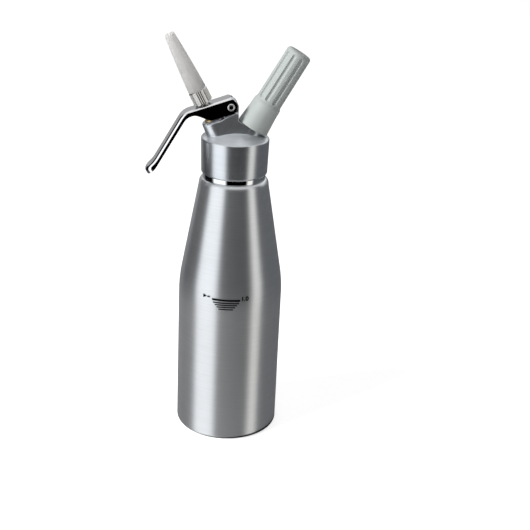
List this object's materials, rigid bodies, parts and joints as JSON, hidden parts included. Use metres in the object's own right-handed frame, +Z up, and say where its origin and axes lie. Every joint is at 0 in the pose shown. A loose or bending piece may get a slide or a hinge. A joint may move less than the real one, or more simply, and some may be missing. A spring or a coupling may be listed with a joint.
{
  "type": "whipped cream dispenser",
  "caption": "Tall aluminium bottle with a screwed head that carries a squeeze lever, a slanted tapered nozzle and a slanted gas charger holder.",
  "frame": {"origin": "centre of the bottle's flat underside", "axes": "+Z up the bottle; the charger holder leans towards +X and the nozzle and lever towards -X; +Y points away from the viewer of the picture"},
  "size_m": [0.1483, 0.099, 0.3873],
  "materials": {
    "bottle_aluminium": "fine circular brushing, polished ring under the neck",
    "head_aluminium": "fine circular brushing on the skirt, machined block on top",
    "lever_chrome": "mirror chrome plating",
    "adapter_steel": "fine straight knurl",
    "steel": "bright turned steel",
    "charger_steel": "plated steel capsule",
    "brass": "turned brass",
    "rubber": "black rubber",
    "silicone": "pale silicone",
    "nozzle_plastic": "frosted, slightly see-through",
    "holder_plastic": "satin grey-green"
  },
  "bodies": {
    "bottle": {"bottle": "bottle_aluminium"},
    "head_lift": {"head_gasket": "silicone"},
    "head": {"head": "head_aluminium", "lever_rivet": "steel", "gland_nut": "brass", "piston_spring": "steel", "gas_valve_body": "brass", "piercing_pin": "steel", "charger_gasket": "rubber", "valve_retainer": "brass", "check_spring": "steel"},
    "lever": {"lever": "lever_chrome"},
    "piston": {"piston": "steel", "piston_o_ring": "rubber", "valve_seal": "silicone", "seal_nut": "brass"},
    "adapter_lift": {"adapter_washer": "silicone"},
    "adapter": {"nozzle_adapter": "adapter_steel", "nozzle": "nozzle_plastic"},
    "holder_lift": {"gas_charger": "charger_steel"},
    "holder": {"charger_holder": "holder_plastic"},
    "check_poppet": {"check_poppet": "rubber"}
  },
  "joints": [
    {"name": "head_rise", "type": "slide", "parent": "bottle", "child": "head_lift", "axis": [0, 0, 1], "range_m": [0, 0.0126]},
    {"name": "head_turn", "type": "hinge", "parent": "head_lift", "child": "head", "pos_m": [0, 0, 0.2692], "axis": [0, 0, 1], "range_deg": [0, 900]},
    {"name": "lever_squeeze", "type": "hinge", "parent": "head", "child": "lever", "pos_m": [-0.0057, 0, 0.3218], "axis": [0, -1, 0], "range_deg": [0, 6], "stiffness_Nm_per_rad": 1.5, "springref_deg": -2.86},
    {"name": "piston_travel", "type": "slide", "parent": "head", "child": "piston", "axis": [0.4602, 0, -0.8878], "range_m": [0, 0.0023], "deforming": ["piston_spring"]},
    {"name": "adapter_rise", "type": "slide", "parent": "piston", "child": "adapter_lift", "axis": [-0.4602, 0, 0.8878], "range_m": [0, 0.0046]},
    {"name": "adapter_turn", "type": "hinge", "parent": "adapter_lift", "child": "adapter", "pos_m": [-0.0299, 0, 0.3239], "axis": [-0.4602, 0, 0.8878], "range_deg": [0, 900]},
    {"name": "holder_rise", "type": "slide", "parent": "head", "child": "holder_lift", "axis": [0.503, 0, 0.8643], "range_m": [0, 0.0091]},
    {"name": "holder_turn", "type": "hinge", "parent": "holder_lift", "child": "holder", "pos_m": [0.0157, 0, 0.3013], "axis": [0.503, 0, 0.8643], "range_deg": [0, 1080]},
    {"name": "check_lift", "type": "slide", "parent": "head", "child": "check_poppet", "axis": [-0.503, 0, -0.8643], "range_m": [0, 0.001], "stiffness_N_per_m": 100, "springref_m": -0.0015, "deforming": ["check_spring"]}
  ],
  "couplings": [
    {"joint": "head_rise", "follows": "head_turn", "m_per_rad": 0.00079577},
    {"joint": "piston_travel", "follows": "lever_squeeze", "m_per_rad": 0.021},
    {"joint": "adapter_rise", "follows": "adapter_turn", "m_per_rad": 0.00028648},
    {"joint": "holder_rise", "follows": "holder_turn", "m_per_rad": 0.00047746}
  ]
}
